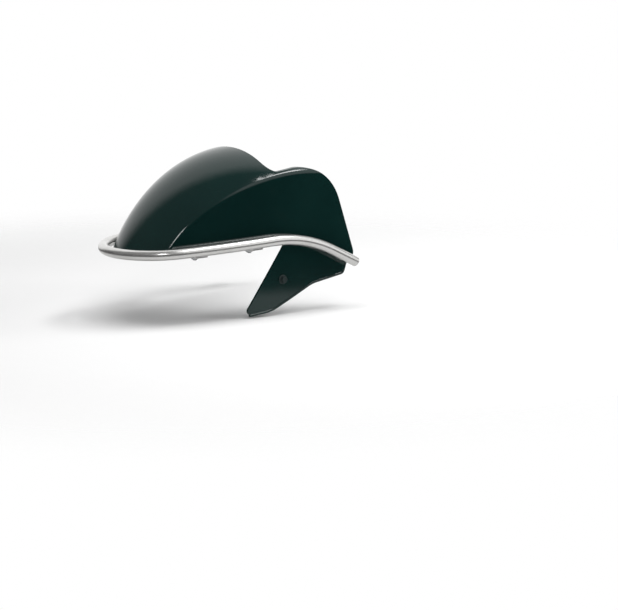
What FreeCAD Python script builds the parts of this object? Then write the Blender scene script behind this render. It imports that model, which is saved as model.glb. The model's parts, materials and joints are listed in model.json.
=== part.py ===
import FreeCAD
import Part
import Sketcher
import math
import os
from FreeCAD import Placement, Rotation, Vector

doc = FreeCAD.newDocument("fender")

# Sizes in millimetres and degrees. The origin is the centre of the four crown bosses, on their lower faces.
# X points forward, Y to the left and Z up.
sizes = {
    "wall": 3.0,
    "crease_round": 7.0,
    "pole_back": 72.0,
    "crest_height": 44.0,
    "crest_radius": 228.0,
    "crown_first_angle": 15.0,
    "crown_last_angle": 123.0,
    "crown_nose_radius": 94.0,
    "crown_round_angle": 25.0,
    "crown_flat_angle": 78.4,
    "crown_half_first": 74.0,
    "crown_side_clear": 11.0,
    "crown_top_clear": 12.0,
    "cheek_radius": 1000.0,
    "cheek_half_width": 99.0,
    "cheek_widest_back": 191.0,
    "cheek_draft": 2.5,
    "block_margin": 16.0,
    "edge_drop": 80.0,
    "edge_lean_angle": 2.2,
    "sweep_back": 42.0,
    "sweep_radius": 200.0,
    "sweep_angle": 27.0,
    "rear_foot_back": 195.0,
    "rear_top_back": 146.5,
    "rear_top_height": 25.0,
    "notch_back": 52.0,
    "notch_height": 15.7,
    "rear_round": 70.0,
    "notch_round": 12.0,
    "foot_round": 12.0,
    "tongue_inner": 60.0,
    "tongue_width": 90.0,
    "tongue_root_back": 76.5,
    "tongue_root_drop": 70.0,
    "tongue_tip_front": 1.0,
    "tongue_tip_drop": 178.0,
    "tongue_heel_back": 43.0,
    "tongue_heel_rise": 5.0,
    "tongue_step_back": 112.0,
    "tongue_step_rise": 32.0,
    "tongue_end_back": 167.0,
    "tongue_end_rise": 8.0,
    "tongue_top_back": 178.0,
    "tongue_top_rise": 28.0,
    "tongue_round": 60.0,
    "tongue_tip_round": 6.0,
    "lip_width": 16.0,
    "lip_nose_width": 23.0,
    "lip_back": 36.0,
    "mount_spacing_x": 50.0,
    "mount_spacing_y": 56.0,
    "mount_boss_radius": 8.0,
    "rib_thickness": 2.5,
    "rib_rise": 4.0,
    "insert_radius": 4.1,
    "insert_length": 12.0,
    "insert_bore_radius": 2.5,
    "insert_hole_depth": 13.0,
    "tube_radius": 7.0,
    "tube_wall": 1.5,
    "bar_drop": 75.2,
    "bar_side_clear": 3.8,
    "bar_heading": 6.0,
    "bar_side_radius": 784.0,
    "bar_nose_back": 55.0,
    "bar_tail": 44.5,
    "plug_cap": 1.0,
    "plug_bevel": 1.0,
    "plug_depth": 8.0,
    "strap_front_back": 65.0,
    "strap_middle_ahead": 25.0,
    "strap_inset": 11.0,
    "strap_width": 16.0,
    "strap_thickness": 3.0,
    "strap_bite": 1.0,
    "bolt_radius": 3.0,
    "bolt_clearance": 0.3,
    "head_flats": 10.0,
    "head_height": 4.0,
    "bolt_past_nut": 2.0,
    "washer_radius": 6.2,
    "washer_thickness": 1.2,
    "seat_clearance": 0.03,
    "nut_height": 5.0,
    "thread_clearance": 0.05,
    "boss_back": 160.0,
    "boss_radius": 6.0,
    "boss_thread_depth": 7.0,
    "boss_thread_spare": 2.0,
    "ear_radius": 11.0,
    "skirt_screw_back": 62.5,
    "skirt_screw_drop": 131.5,
    "skirt_boss_radius": 9.0,
    "skirt_boss_depth": 8.0,
    "bush_radius": 5.5,
    "shoulder_radius": 4.0,
    "bush_proud": 0.2,
    "skirt_head_flats": 8.0,
    "skirt_flange_radius": 6.5,
    "skirt_flange_height": 1.6,
    "skirt_shank_free": 14.0,
}
sheet = doc.addObject("Spreadsheet::Sheet", "Sizes")
for row, (name, value) in enumerate(sizes.items(), start=1):
    sheet.set("A%d" % row, name)
    sheet.set("B%d" % row, str(value))
    sheet.setAlias("B%d" % row, name)
doc.recompute()


def size(name):
    return float(sheet.get(name))


def cell(name):
    return "Sizes." + name


# Reach of the working blocks beyond the finished shell, from the crest, the tongue and the rear foot.
up = Vector(0, 0, 1)
left, right = 1, -1
margin = size("block_margin")
front_reach = size("crest_radius") - size("pole_back") + margin
front_rule = "(Sizes.crest_radius - Sizes.pole_back + Sizes.block_margin)"
top_reach = size("crest_height") + margin
top_rule = "(Sizes.crest_height + Sizes.block_margin)"
rear_reach = size("rear_foot_back") + margin
rear_rule = "(Sizes.rear_foot_back + Sizes.block_margin)"
low_reach = size("tongue_tip_drop") + margin
low_rule = "(Sizes.tongue_tip_drop + Sizes.block_margin)"
width_reach = 3 * size("cheek_half_width")
width_rule = "(3 * Sizes.cheek_half_width)"

# Depth of the crosswise pole that the crown is struck from, and the nose of the lower edge.
pole_drop = size("crest_radius") - size("crest_height")
pole_rule = "(Sizes.crest_radius - Sizes.crest_height)"
nose_front = math.sqrt(size("crest_radius") ** 2 - (pole_drop - size("edge_drop")) ** 2) - size("pole_back")
nose_rule = "(sqrt(Sizes.crest_radius ^ 2 - (%s - Sizes.edge_drop) ^ 2) - Sizes.pole_back)" % pole_rule

# The lower edge and the bar lean down towards the nose about the point where the rear fall begins.
lean = math.radians(size("edge_lean_angle"))
lean_pivot = Vector(-size("sweep_back"), 0, -size("edge_drop"))
leaned = Placement(Vector(0, 0, 0), Rotation(Vector(0, 1, 0), size("edge_lean_angle")), lean_pivot)


def origin_plane(body, role):
    return [item for item in body.Origin.OriginFeatures if item.Role == role][0]


def new_sketch(body, name, role):
    sketch = body.newObject("Sketcher::SketchObject", name)
    sketch.AttachmentSupport = (origin_plane(body, role), "")
    sketch.MapMode = "FlatFace"
    return sketch


def bind(sketch, kind, first, second, value, rule):
    # One dimension between two points, driven by a rule on the sheet.
    index = sketch.addConstraint(Sketcher.Constraint(kind, *first, *second, value))
    sketch.setExpression("Constraints[%d]" % index, rule)


def bind_point(sketch, point, across, along, across_rule, along_rule):
    # Position of a point from the sketch origin; distances stay positive either side of it.
    origin = (-1, 1)
    for kind, value, rule in (("DistanceX", across, across_rule), ("DistanceY", along, along_rule)):
        if rule is None:
            continue
        pair = (origin, point) if value >= 0 else (point, origin)
        bind(sketch, kind, pair[0], pair[1], abs(value), rule)


def signed(rule):
    # A rule adds up sheet names, each with a minus sign where it leads back or down.
    terms = [(-1 if term.startswith("-") else 1, term.lstrip("-")) for term in rule.split()]
    value = sum(sign * size(name) for sign, name in terms)
    way = -1 if value < 0 else 1
    text = "".join((" + " if sign * way > 0 else " - ") + cell(name) for sign, name in terms)
    return value, text[3:] if text.startswith(" + ") else text


def polygon(sketch, corners):
    # Closed outline of straight sides through named corners.
    points = [Vector(signed(a)[0], signed(b)[0], 0) for a, b in corners]
    count = len(points)
    for k in range(count):
        sketch.addGeometry(Part.LineSegment(points[k], points[(k + 1) % count]), False)
    for k in range(count):
        sketch.addConstraint(Sketcher.Constraint("Coincident", k, 2, (k + 1) % count, 1))
    for k, (a, b) in enumerate(corners):
        bind_point(sketch, (k, 1), points[k].x, points[k].y, signed(a)[1], signed(b)[1])


def pad(body, name, sketch, rule, value, sides="One side", reverse=False):
    feature = body.newObject("PartDesign::Pad", name)
    feature.Profile = sketch
    feature.Length = value
    feature.SideType = sides
    feature.Reversed = reverse
    feature.setExpression("Length", rule)
    return feature


def round_edges(body, name, base, rule, value, chosen):
    # Rounds the edges of the last feature whose middle points pass the test.
    doc.recompute()
    names = []
    for index, edge in enumerate(base.Shape.Edges, start=1):
        if chosen(edge):
            names.append("Edge%d" % index)
    feature = body.newObject("PartDesign::Fillet", name)
    feature.Base = (base, names)
    feature.Radius = value
    feature.setExpression("Radius", rule)
    return feature


def edge_at(across, up):
    # True for a crosswise edge that runs through the given side-view point.
    def test(edge):
        middle = edge.CenterOfMass
        return math.hypot(middle.x - across, middle.z - up) < 0.5 and edge.BoundBox.YLength > size("wall")
    return test


def draft_growth(depth):
    # Growth of the cheek radius at a depth below the mount plane.
    return depth * math.tan(math.radians(size("cheek_draft")))


# Crown cutting sections: upright fans of planes through a crosswise pole.
sections = 7


def crown_section(body, name, step, inset):
    share = "%d / %d" % (step, sections - 1)
    part = step / (sections - 1.0)
    angle = size("crown_first_angle") + part * (size("crown_last_angle") - size("crown_first_angle"))
    span_rule = "(Sizes.crown_last_angle - Sizes.crown_first_angle)"
    angle_rule = "(Sizes.crown_first_angle + %s * %s)" % (span_rule, share)
    # The section flattens from the nose backwards: its radius is the nose radius over a cosine.
    ease = (angle - size("crown_round_angle")) / (size("crown_last_angle") - size("crown_round_angle"))
    ease_span = "(Sizes.crown_last_angle - Sizes.crown_round_angle)"
    ease_rule = "(%s - Sizes.crown_round_angle) / %s" % (angle_rule, ease_span)
    radius = size("crown_nose_radius") / math.cos(math.radians(size("crown_flat_angle") * ease))
    radius_rule = "(Sizes.crown_nose_radius / cos(1 deg * Sizes.crown_flat_angle * %s))" % ease_rule
    last_half = size("cheek_half_width") + size("crown_side_clear")
    last_rule = "(Sizes.cheek_half_width + Sizes.crown_side_clear)"
    half = size("crown_half_first") + part * (last_half - size("crown_half_first"))
    half_rule = "(Sizes.crown_half_first + (%s - Sizes.crown_half_first) * %s)" % (last_rule, share)
    inset_rule = "%d * Sizes.wall" % inset
    arc = radius - inset * size("wall")
    centre = size("crest_radius") - radius
    end = centre + math.sqrt(arc * arc - half * half)
    top = math.hypot(front_reach + size("pole_back"), top_reach + pole_drop) + size("crown_top_clear")
    corner_rule = "(%s + Sizes.pole_back) ^ 2 + (%s + %s) ^ 2" % (front_rule, top_rule, pole_rule)
    clear_rule = "sqrt(%s) + Sizes.crown_top_clear" % corner_rule
    sketch = new_sketch(body, name, "YZ_Plane")
    base = Vector(0, -pole_drop, -size("pole_back"))
    sketch.AttachmentOffset = Placement(base, Rotation(Vector(1, 0, 0), 90 - angle))
    sketch.setExpression("AttachmentOffset.Base.y", "-" + pole_rule)
    sketch.setExpression("AttachmentOffset.Base.z", "-Sizes.pole_back")
    sketch.setExpression("AttachmentOffset.Rotation.Angle", "90 - " + angle_rule)
    start = math.atan2(end - centre, half)
    circle = Part.Circle(Vector(0, centre, 0), Vector(0, 0, 1), arc)
    sketch.addGeometry(Part.ArcOfCircle(circle, start, math.pi - start), False)
    corners = [Vector(half, end, 0), Vector(half, top, 0), Vector(-half, top, 0), Vector(-half, end, 0)]
    for k in range(3):
        sketch.addGeometry(Part.LineSegment(corners[k], corners[k + 1]), False)
    sketch.addConstraint(Sketcher.Constraint("Coincident", 0, 1, 1, 1))
    sketch.addConstraint(Sketcher.Constraint("Coincident", 1, 2, 2, 1))
    sketch.addConstraint(Sketcher.Constraint("Coincident", 2, 2, 3, 1))
    sketch.addConstraint(Sketcher.Constraint("Coincident", 3, 2, 0, 2))
    sketch.addConstraint(Sketcher.Constraint("Vertical", 1))
    sketch.addConstraint(Sketcher.Constraint("Vertical", 3))
    sketch.addConstraint(Sketcher.Constraint("Symmetric", 0, 1, 0, 2, -2))
    index = sketch.addConstraint(Sketcher.Constraint("Radius", 0, arc))
    sketch.setExpression("Constraints[%d]" % index, "%s - %s" % (radius_rule, inset_rule))
    reach = "sqrt((%s - %s) ^ 2 - %s ^ 2)" % (radius_rule, inset_rule, half_rule)
    end_rule = "Sizes.crest_radius - %s + %s" % (radius_rule, reach)
    bind_point(sketch, (0, 1), half, end, half_rule, end_rule)
    bind_point(sketch, (1, 2), half, top, None, clear_rule)
    sketch.addConstraint(Sketcher.Constraint("Horizontal", 2))
    return sketch


def cheek_outline(body, name, drop, drop_rule, inset, inset_rule, front, fore_rule, rear, aft_rule):
    # Plan outline at a depth below the mount plane: two shallow arcs closed by a front and a rear line.
    sketch = new_sketch(body, name, "XY_Plane")
    sketch.AttachmentOffset = Placement(Vector(0, 0, -drop), Rotation())
    sketch.setExpression("AttachmentOffset.Base.z", "-%s" % drop_rule)
    widest = -size("cheek_widest_back")
    offset = size("cheek_radius") - size("cheek_half_width")
    radius = size("cheek_radius") + draft_growth(drop) - inset
    first = math.acos((front - widest) / radius)
    last = math.acos((-rear - widest) / radius)
    left = Part.ArcOfCircle(Part.Circle(Vector(widest, -offset, 0), Vector(0, 0, 1), radius), first, last)
    right = Part.ArcOfCircle(Part.Circle(Vector(widest, offset, 0), Vector(0, 0, 1), radius), -last, -first)
    sketch.addGeometry(left, False)
    sketch.addGeometry(Part.LineSegment(left.EndPoint, right.StartPoint), False)
    sketch.addGeometry(right, False)
    sketch.addGeometry(Part.LineSegment(right.EndPoint, left.StartPoint), False)
    for k in range(4):
        sketch.addConstraint(Sketcher.Constraint("Coincident", k, 2, (k + 1) % 4, 1))
    offset_rule = "Sizes.cheek_radius - Sizes.cheek_half_width"
    growth_rule = "%s * tan(1 deg * Sizes.cheek_draft)" % drop_rule
    radius_rule = "Sizes.cheek_radius + %s - %s" % (growth_rule, inset_rule)
    for arc, side, fore, aft in ((0, -1, 1, 2), (2, 1, 2, 1)):
        bind_point(sketch, (arc, 3), widest, side * offset, cell("cheek_widest_back"), offset_rule)
        index = sketch.addConstraint(Sketcher.Constraint("Radius", arc, radius))
        sketch.setExpression("Constraints[%d]" % index, radius_rule)
        bind_point(sketch, (arc, fore), front, 0, fore_rule, None)
        bind_point(sketch, (arc, aft), -rear, 0, aft_rule, None)
    return sketch


def fender_block(name, inset):
    # Solid block under the crown and between the cheeks, one wall further in when inset is 1.
    body = doc.addObject("PartDesign::Body", name)
    wall = inset * size("wall")
    plan = cheek_outline(body, name + "_plan", low_reach, low_rule, wall, "%d * Sizes.wall" % inset,
                         front_reach, front_rule, rear_reach, rear_rule)
    block = pad(body, name + "_pad", plan, low_rule + " + " + top_rule, low_reach + top_reach)
    block.TaperAngle = -size("cheek_draft")
    block.setExpression("TaperAngle", "-Sizes.cheek_draft")
    fans = [crown_section(body, "%s_fan_%d" % (name, k), k, inset) for k in range(sections)]
    cut = body.newObject("PartDesign::SubtractiveLoft", name + "_crown")
    cut.Profile = fans[0]
    cut.Sections = fans[1:]
    doc.recompute()
    curved = [f for f in cut.Shape.Faces if not isinstance(f.Surface, Part.Plane)]
    crown = max(curved, key=lambda f: f.CenterOfMass.z)
    marks = [e.CenterOfMass for e in crown.Edges if abs(e.CenterOfMass.y) > size("cheek_half_width") / 4]

    def on_crease(edge):
        return min((edge.CenterOfMass - mark).Length for mark in marks) < 0.01

    inner = "Sizes.crease_round - %d * Sizes.wall" % inset
    round_edges(body, name + "_crease", cut, inner, size("crease_round") - wall, on_crease)
    return body


outer_block = fender_block("outer_block", 0)
inner_block = fender_block("inner_block", 1)
doc.recompute()


def side_trim():
    # Side view of the shell: lower edge with a falling rear part, leaning rear edge and open crown back.
    body = doc.addObject("PartDesign::Body", "side_trim")
    sketch = new_sketch(body, "side_view", "XZ_Plane")
    angle = math.radians(size("sweep_angle"))
    radius = size("sweep_radius")
    knee = Vector(-size("sweep_back"), -size("edge_drop"), 0)
    centre = knee - Vector(math.sin(lean), math.cos(lean), 0) * radius
    bend_x = centre.x - radius * math.sin(angle)
    bend_z = centre.y + radius * math.cos(angle)
    front_z = -size("edge_drop") - (front_reach + size("sweep_back")) * math.tan(lean)
    foot_z = bend_z - (size("rear_foot_back") + bend_x) * math.tan(angle)
    circle = Part.Circle(centre, Vector(0, 0, 1), radius)
    points = [
        Vector(front_reach, front_z, 0),
        knee,
        Vector(bend_x, bend_z, 0),
        Vector(-size("rear_foot_back"), foot_z, 0),
        Vector(-size("rear_top_back"), size("rear_top_height"), 0),
        Vector(-size("notch_back"), size("notch_height"), 0),
        Vector(-size("notch_back"), top_reach, 0),
        Vector(front_reach, top_reach, 0),
    ]
    sketch.addGeometry(Part.LineSegment(points[0], points[1]), False)
    sketch.addGeometry(Part.ArcOfCircle(circle, math.pi / 2 - lean, math.pi / 2 + angle), False)
    for k in range(2, 8):
        sketch.addGeometry(Part.LineSegment(points[k], points[(k + 1) % 8]), False)
    for k in range(8):
        sketch.addConstraint(Sketcher.Constraint("Coincident", k, 2, (k + 1) % 8, 1))
    sketch.addConstraint(Sketcher.Constraint("Vertical", 5))
    sketch.addConstraint(Sketcher.Constraint("Horizontal", 6))
    sketch.addConstraint(Sketcher.Constraint("Vertical", 7))
    lean_rule = "(%s + Sizes.sweep_back) * tan(1 deg * Sizes.edge_lean_angle)" % front_rule
    bind_point(sketch, (0, 1), points[0].x, points[0].y, front_rule, "Sizes.edge_drop + " + lean_rule)
    bind_point(sketch, (1, 1), points[1].x, points[1].y, cell("sweep_back"), cell("edge_drop"))
    centre_x = "Sizes.sweep_back + Sizes.sweep_radius * sin(1 deg * Sizes.edge_lean_angle)"
    centre_z = "Sizes.edge_drop + Sizes.sweep_radius * cos(1 deg * Sizes.edge_lean_angle)"
    bind_point(sketch, (1, 3), centre.x, centre.y, centre_x, centre_z)
    bend_rule = "%s + Sizes.sweep_radius * sin(1 deg * Sizes.sweep_angle)" % centre_x
    bind_point(sketch, (2, 1), bend_x, 0, bend_rule, None)
    fall = "%s - Sizes.sweep_radius * cos(1 deg * Sizes.sweep_angle)" % centre_z
    run = "(Sizes.rear_foot_back - (%s)) * tan(1 deg * Sizes.sweep_angle)" % bend_rule
    foot_rule = "%s + %s" % (fall, run)
    bind_point(sketch, (3, 1), points[3].x, foot_z, cell("rear_foot_back"), foot_rule)
    bind_point(sketch, (4, 1), points[4].x, points[4].y, cell("rear_top_back"), cell("rear_top_height"))
    bind_point(sketch, (5, 1), points[5].x, points[5].y, cell("notch_back"), cell("notch_height"))
    bind_point(sketch, (6, 1), 0, points[6].y, None, top_rule)
    block = pad(body, "side_pad", sketch, width_rule, width_reach, "Symmetric")
    last = block
    marks = ((points[4], "rear_round"), (points[5], "notch_round"), (points[3], "foot_round"))
    for point, name in marks:
        last = round_edges(body, "side_" + name, last, cell(name), size(name), edge_at(point.x, point.y))
    return body


def tongue_trim():
    # Side view of the skirt tongue, which hangs from the left cheek only.
    body = doc.addObject("PartDesign::Body", "tongue_trim")
    sketch = new_sketch(body, "tongue_view", "XZ_Plane")
    sketch.AttachmentOffset = Placement(Vector(0, 0, -size("tongue_inner")), Rotation())
    sketch.setExpression("AttachmentOffset.Base.z", "-Sizes.tongue_inner")
    heel = "-tongue_tip_drop tongue_heel_rise"
    step = heel + " tongue_step_rise"
    end = step + " tongue_end_rise"
    corners = [
        ("-tongue_root_back", "-tongue_root_drop"),
        ("tongue_tip_front", "-tongue_tip_drop"),
        ("-tongue_heel_back", heel),
        ("-tongue_step_back", step),
        ("-tongue_end_back", end),
        ("-tongue_top_back", end + " tongue_top_rise"),
    ]
    polygon(sketch, corners)
    last = pad(body, "tongue_pad", sketch, cell("tongue_width"), size("tongue_width"), reverse=True)
    rounds = ((2, "tongue_round"), (3, "tongue_round"), (1, "tongue_tip_round"), (4, "tongue_tip_round"))
    for corner, name in rounds:
        picked = edge_at(signed(corners[corner][0])[0], signed(corners[corner][1])[0])
        last = round_edges(body, "tongue_edge_%d" % corner, last, cell(name), size(name), picked)
    return body


def frame_at(across, drop, side, inset=0.0):
    # Point on the outer cheek face and the outward direction there, moved inwards by inset.
    draft = math.radians(size("cheek_draft"))
    reach = size("cheek_radius") + draft_growth(drop)
    plan = math.asin((across + size("cheek_widest_back")) / reach)
    out = reach * math.cos(plan) - size("cheek_radius") + size("cheek_half_width")
    level = math.cos(draft)
    normal = Vector(math.sin(plan) * level, side * math.cos(plan) * level, math.sin(draft))
    point = Vector(across, side * out, -drop)
    return point - normal * inset, normal, plan


def cylinder(name, radius_rule, height_rule, base, axis):
    # Round bar from a point along an axis.
    item = doc.addObject("Part::Cylinder", name)
    item.setExpression("Radius", radius_rule)
    item.setExpression("Height", height_rule)
    item.Placement = Placement(base, Rotation(Vector(0, 0, 1), axis))
    return item


def box(name, length_rule, width_rule, height_rule, base, turn=0.0):
    item = doc.addObject("Part::Box", name)
    item.setExpression("Length", length_rule)
    item.setExpression("Width", width_rule)
    item.setExpression("Height", height_rule)
    item.Placement = Placement(base, Rotation(Vector(0, 0, 1), turn))
    return item


def carry(item, place):
    # Moves an item drawn about the level edge onto the leaning one.
    item.Placement = place.multiply(item.Placement)
    return item


def join(name, items):
    item = doc.addObject("Part::MultiFuse", name)
    item.Shapes = items
    return item


def cut(name, base, tool):
    item = doc.addObject("Part::Cut", name)
    item.Base = base
    item.Tool = tool
    return item


def meet(name, items):
    item = doc.addObject("Part::MultiCommon", name)
    item.Shapes = items
    return item


def hexagon(name, flats, height_rule, base, axis):
    item = doc.addObject("Part::Prism", name)
    item.Polygon = 6
    item.setExpression("Circumradius", "Sizes.%s / sqrt(3)" % flats)
    item.setExpression("Height", height_rule)
    item.Placement = Placement(base, Rotation(Vector(0, 0, 1), axis))
    return item


def group(name, template, places):
    # Identical pieces: the template's shape copied to each place, kept as separate solids.
    doc.recompute()
    copies = []
    for place in places:
        shape = template.Shape.copy()
        shape.Placement = place.multiply(shape.Placement)
        copies.append(shape)
    item = doc.addObject("Part::Feature", name)
    item.Shape = Part.makeCompound(copies)
    return item


# Places of the fixings.
strap_spots = []
for across in (nose_front - size("strap_front_back"), size("strap_middle_ahead") - size("sweep_back")):
    for side in (left, right):
        point, normal, plan = frame_at(across, size("edge_drop"), side)
        flat = Vector(math.sin(plan), side * math.cos(plan), 0)
        spot = point - flat * size("strap_inset")
        strap_spots.append((spot, flat))


# Bar path on the left, drawn level: where the fall begins, its heading there and its side bend's centre.
heading = math.radians(size("bar_heading"))
knee_point, knee_normal, knee_plan = frame_at(-size("sweep_back"), size("bar_drop"), left)
half_width = knee_point.y + size("tube_radius") + size("bar_side_clear")
bar_knee = Vector(-size("sweep_back"), half_width, -size("bar_drop"))
bar_back = Vector(-math.cos(heading), math.sin(heading), 0)
side_centre = bar_knee - Vector(math.sin(heading), math.cos(heading), 0) * size("bar_side_radius")

# The fall starts along the leaning bar and ends at the sweep angle below level.
fall = math.radians(size("sweep_angle") + size("edge_lean_angle"))
fall_back = leaned.Rotation.multVec(bar_back)
fall_up = up - fall_back * up.dot(fall_back)
fall_up.normalize()
fall_centre = leaned.multVec(bar_knee) - fall_up * size("sweep_radius")
fall_end = fall_centre + (fall_up * math.cos(fall) + fall_back * math.sin(fall)) * size("sweep_radius")
tail_way = fall_back * math.cos(fall) - fall_up * math.sin(fall)


def mirrored(vector, side):
    return Vector(vector.x, side * vector.y, vector.z)


boss_spots = []
for side in (left, right):
    run = (-size("boss_back") - fall_end.x) / tail_way.x
    target = mirrored(fall_end + tail_way * run, side)
    point, normal, plan = frame_at(target.x, -target.z, side)
    boss_spots.append((point, normal, (target - point).Length))

screw_spot, screw_out, screw_plan = frame_at(-size("skirt_screw_back"), size("skirt_screw_drop"), left)

# Shell: outer block less inner block, kept inside the side view.
ears = []
for index, (point, normal, reach) in enumerate(boss_spots, start=1):
    start = point - normal * size("ear_radius")
    ears.append(cylinder("ear_%d" % index, cell("ear_radius"), "2 * Sizes.ear_radius", start, normal))
keep = join("keep", [side_trim(), tongue_trim()] + ears)
kept_block = meet("kept_block", [outer_block, keep])

# Slab that leaves an inward lip along the straight part of the lower edge.
lip_slab = box("lip_slab", front_rule + " + Sizes.lip_back", width_rule, "4 * Sizes.wall",
               Vector(-size("lip_back"), -width_reach / 2, -size("edge_drop") - 3 * size("wall")))
carry(lip_slab, leaned)
lip_body = doc.addObject("PartDesign::Body", "lip_opening")
lip_plan = cheek_outline(lip_body, "lip_plan", size("edge_drop"), cell("edge_drop"),
                         size("wall") + size("lip_width"), "(Sizes.wall + Sizes.lip_width)",
                         nose_front - size("lip_nose_width"), nose_rule + " - Sizes.lip_nose_width",
                         2 * size("lip_back"), "2 * Sizes.lip_back")
pad(lip_body, "lip_pad", lip_plan, "10 * Sizes.wall", 10 * size("wall"), "Symmetric")
lip = cut("lip", lip_slab, lip_body)

# Crown bosses and the ribs that tie them together.
mount_spots = []
for across in (-0.5, 0.5):
    for along in (-0.5, 0.5):
        mount_spots.append(Vector(across * size("mount_spacing_x"), along * size("mount_spacing_y"), 0))
stems = []
for index, spot in enumerate(mount_spots, start=1):
    stems.append(cylinder("stem_%d" % index, cell("mount_boss_radius"), top_rule, spot, up))
half_rib = size("rib_thickness") / 2
half_x = size("mount_spacing_x") / 2
half_y = size("mount_spacing_y") / 2
rib_height = top_rule + " - Sizes.rib_rise"
for index, sign in enumerate((-1, 1), start=1):
    base = Vector(-half_x, sign * half_y - half_rib, size("rib_rise"))
    long_rib = box("long_rib_%d" % index, cell("mount_spacing_x"), cell("rib_thickness"), rib_height, base)
    stems.append(long_rib)
    base = Vector(sign * half_x - half_rib, -half_y, size("rib_rise"))
    short_rib = box("short_rib_%d" % index, cell("rib_thickness"), cell("mount_spacing_y"), rib_height, base)
    stems.append(short_rib)

# Thickened seat for the skirt screw, on the inside of the tongue.
seat_base = screw_spot - screw_out * size("skirt_boss_depth")
seat_rule = "Sizes.skirt_boss_depth - Sizes.wall / 2"
seat = cylinder("seat", cell("skirt_boss_radius"), seat_rule, seat_base, screw_out)

# Holes through the shell.
hole_rule = "Sizes.bolt_radius + Sizes.bolt_clearance"
holes = []
for index, (spot, flat) in enumerate(strap_spots, start=1):
    base = spot - up * size("wall")
    holes.append(carry(cylinder("strap_hole_%d" % index, hole_rule, "4 * Sizes.wall", base, up), leaned))
for index, (point, normal, reach) in enumerate(boss_spots, start=1):
    base = point - normal * 2 * size("wall")
    holes.append(cylinder("boss_hole_%d" % index, hole_rule, "4 * Sizes.wall", base, normal))
for index, spot in enumerate(mount_spots, start=1):
    socket = cylinder("insert_hole_%d" % index, cell("insert_radius"), cell("insert_hole_depth"), spot, up)
    holes.append(socket)
base = seat_base - screw_out * size("wall")
bush_depth = "Sizes.skirt_boss_depth + 2 * Sizes.wall"
holes.append(cylinder("bush_hole", cell("bush_radius"), bush_depth, base, screw_out))
hole_set = join("hole_set", holes)
solid_set = join("solid_set", [lip, seat] + stems)
cavity = cut("cavity", inner_block, solid_set)
shell_full = cut("shell_full", kept_block, cavity)
shell = cut("fender_shell", shell_full, hole_set)

# Bar: a nose bend, two side bends, two falling bends and two straight tails, all tangent.
nose_centre = Vector(nose_front - size("bar_nose_back"), 0, -size("bar_drop"))
nose_way = nose_centre - side_centre
nose_turn = math.atan2(nose_way.y, nose_way.x)
cheek_rule = "(Sizes.cheek_radius + Sizes.bar_drop * tan(1 deg * Sizes.cheek_draft))"
knee_rule = "sqrt(%s ^ 2 - (Sizes.cheek_widest_back - Sizes.sweep_back) ^ 2)" % cheek_rule
half_rule = "(%s - Sizes.cheek_radius + Sizes.cheek_half_width" % knee_rule
half_rule = half_rule + " + Sizes.tube_radius + Sizes.bar_side_clear)"
side_run = "Sizes.bar_side_radius * sin(1 deg * Sizes.bar_heading)"
run_rule = "(%s - Sizes.bar_nose_back + Sizes.sweep_back + %s)" % (nose_rule, side_run)
reach_rule = "(Sizes.bar_side_radius * cos(1 deg * Sizes.bar_heading) - %s)" % half_rule
bend_rule = "Sizes.bar_side_radius - sqrt(%s ^ 2 + %s ^ 2)" % (run_rule, reach_rule)
turn_rule = "atan2(%s; %s)" % (reach_rule, run_rule)


def bend(name, centre, axis, start, radius_rule, tube_rule, angle_rule):
    # Part of a ring about an axis, from a start direction.
    item = doc.addObject("Part::Torus", name)
    item.setExpression("Radius1", radius_rule)
    item.setExpression("Radius2", tube_rule)
    item.setExpression("Angle3", angle_rule)
    item.Placement = Placement(centre, Rotation(start, axis.cross(start), axis, "ZXY"))
    return item


def bar_run(name, tube_rule, tail_rule):
    runs = []
    start = Vector(math.cos(nose_turn), -math.sin(nose_turn), 0)
    nose = bend(name + "_nose", nose_centre, up, start, bend_rule, tube_rule, "2 * " + turn_rule)
    runs.append(carry(nose, leaned))
    for label, side in (("left", left), ("right", right)):
        turn = nose_turn if side == left else heading - math.pi / 2
        start = Vector(math.cos(turn), math.sin(turn), 0)
        flank_turn = "90 deg - 1 deg * Sizes.bar_heading - " + turn_rule
        flank = bend("%s_side_%s" % (name, label), mirrored(side_centre, side), up, start,
                     cell("bar_side_radius"), tube_rule, flank_turn)
        runs.append(carry(flank, leaned))
        rise = mirrored(fall_up, side)
        axis = rise.cross(mirrored(fall_back, side))
        runs.append(bend("%s_fall_%s" % (name, label), mirrored(fall_centre, side), axis, rise,
                         cell("sweep_radius"), tube_rule, "Sizes.sweep_angle + Sizes.edge_lean_angle"))
        runs.append(cylinder("%s_tail_%s" % (name, label), tube_rule, tail_rule,
                             mirrored(fall_end, side), mirrored(tail_way, side)))
    return runs


rods = bar_run("rod", cell("tube_radius"), cell("bar_tail"))
bores = bar_run("bore", "Sizes.tube_radius - Sizes.tube_wall", "Sizes.bar_tail + Sizes.tube_wall")
bar_end = fall_end + tail_way * size("bar_tail")

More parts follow.
